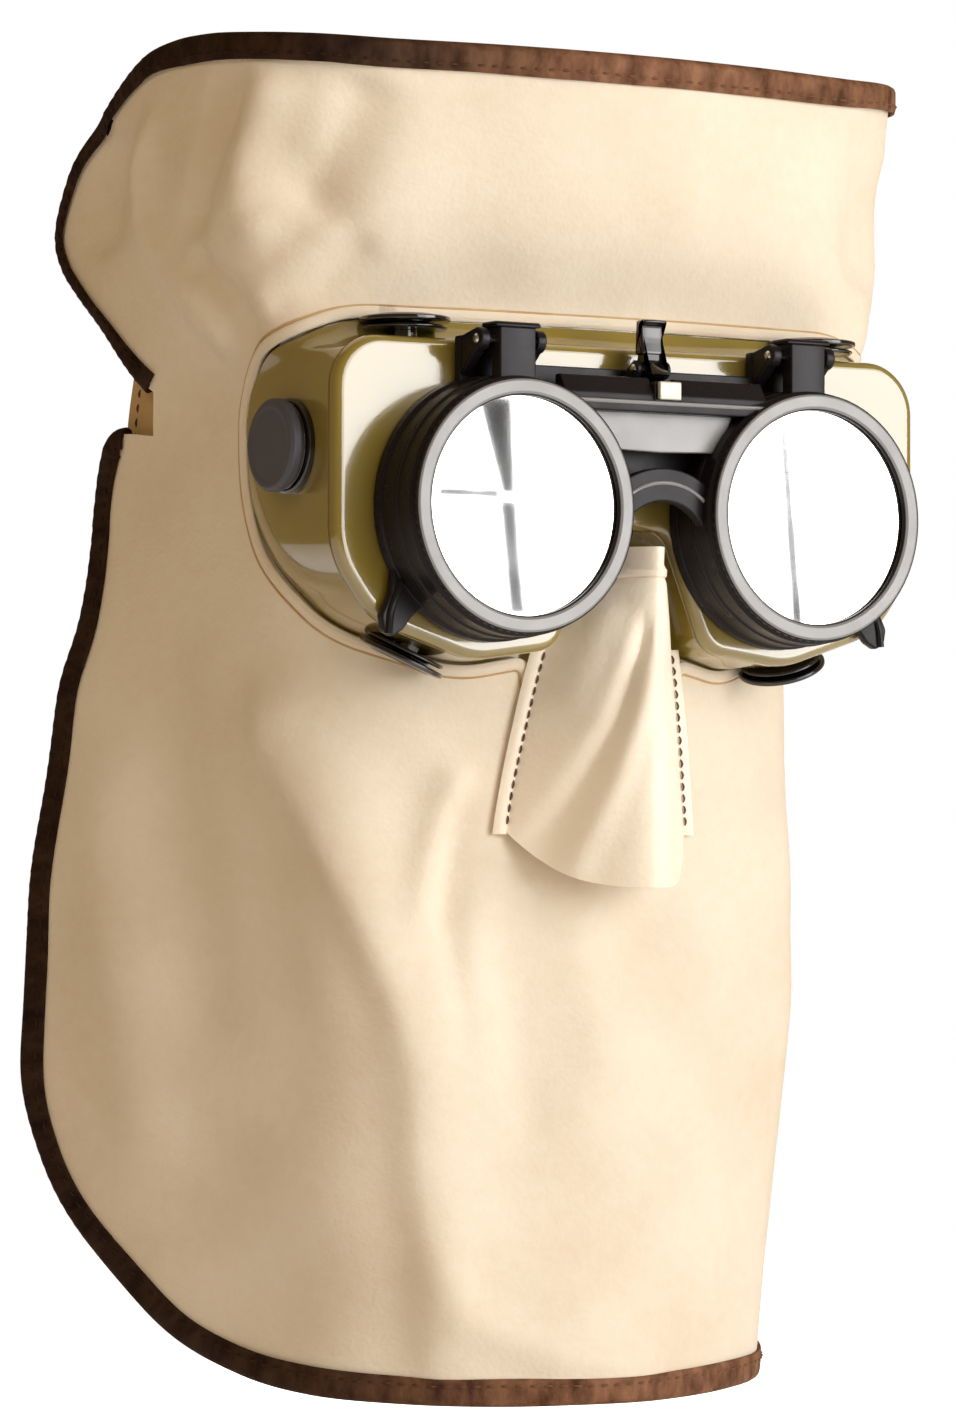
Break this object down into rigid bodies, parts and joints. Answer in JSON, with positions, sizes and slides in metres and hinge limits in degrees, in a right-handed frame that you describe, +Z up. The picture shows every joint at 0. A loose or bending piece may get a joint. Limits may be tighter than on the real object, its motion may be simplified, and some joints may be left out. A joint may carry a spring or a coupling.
{
  "type": "welding goggles with face guard",
  "caption": "Round-lens goggles with a flip-up front, set in a leather guard that wraps from brow to chin, with a sewn nose cover and a headband.",
  "frame": {"origin": "between the eyes, at the height of the lens axes, on the plane where the goggles seal against the face", "axes": "+Z up, the wearer looks along -Y, +X to the wearer's left"},
  "size_m": [0.2052, 0.1336, 0.3084],
  "materials": {
    "leather": "soft undyed split leather, matt",
    "cover_leather": "the same soft leather, a little smoother",
    "tab_leather": "firm tan leather",
    "binding": "dark brown folded binding strip",
    "elastic": "woven black elastic",
    "shell": "soft translucent gold vinyl, glossy",
    "frame_plastic": "moulded black plastic, satin",
    "vent_plastic": "moulded black plastic, satin",
    "clear_lens": "clear polished lens",
    "filter_lens": "dark green filter glass",
    "gasket": "thin black gasket",
    "ring_metal": "satin light grey metal",
    "steel": "bright steel"
  },
  "bodies": {
    "goggles": {"brow_binding": "binding", "face_guard": "leather", "goggle_body": "shell", "headband": "elastic", "hinge_carrier": "frame_plastic", "hinge_pin_left": "steel", "hinge_pin_right": "steel", "inner_gasket_left": "gasket", "inner_gasket_right": "gasket", "inner_lens_left": "clear_lens", "inner_lens_right": "clear_lens", "jaw_binding": "binding", "latch_pin": "steel", "latch_spring": "steel", "nose_cover": "cover_leather", "temple_tab_left": "tab_leather", "temple_tab_right": "tab_leather", "vent_cap_lower_left": "vent_plastic", "vent_cap_lower_right": "vent_plastic", "vent_cap_side_left": "vent_plastic", "vent_cap_side_right": "vent_plastic", "vent_cap_upper_left": "vent_plastic", "vent_cap_upper_right": "vent_plastic", "vent_seat_lower_left": "vent_plastic", "vent_seat_lower_right": "vent_plastic", "vent_seat_side_left": "vent_plastic", "vent_seat_side_right": "vent_plastic", "vent_seat_upper_left": "vent_plastic", "vent_seat_upper_right": "vent_plastic"},
    "flip_front": {"flip_frame": "frame_plastic", "latch_keeper": "steel", "filter_lens_left": "filter_lens", "filter_lens_right": "filter_lens", "cover_lens_left": "clear_lens", "cover_lens_right": "clear_lens", "filter_gasket_left": "gasket", "filter_gasket_right": "gasket"},
    "ring_left": {"retaining_ring_left": "ring_metal"},
    "ring_right": {"retaining_ring_right": "ring_metal"},
    "latch": {"latch_lever": "frame_plastic"},
    "slider": {"band_slider": "frame_plastic"}
  },
  "joints": [
    {"name": "flip_hinge", "type": "hinge", "parent": "goggles", "child": "flip_front", "pos_m": [0, -0.047, 0.037], "axis": [-1, 0, 0], "range_deg": [0, 100]},
    {"name": "ring_turn_left", "type": "hinge", "parent": "flip_front", "child": "ring_left", "pos_m": [0.039, -0.055, 0], "axis": [0, -1, 0], "continuous": true},
    {"name": "ring_turn_right", "type": "hinge", "parent": "flip_front", "child": "ring_right", "pos_m": [-0.039, -0.055, 0], "axis": [0, -1, 0], "continuous": true},
    {"name": "latch_hinge", "type": "hinge", "parent": "goggles", "child": "latch", "pos_m": [0, -0.0445, 0.0325], "axis": [-1, 0, 0], "range_deg": [0, 12], "stiffness_Nm_per_rad": 0.02, "springref_deg": -11.46},
    {"name": "slider_slide", "type": "slide", "parent": "goggles", "child": "slider", "axis": [1, 0, 0], "range_m": [-0.022, 0.022]}
  ]
}
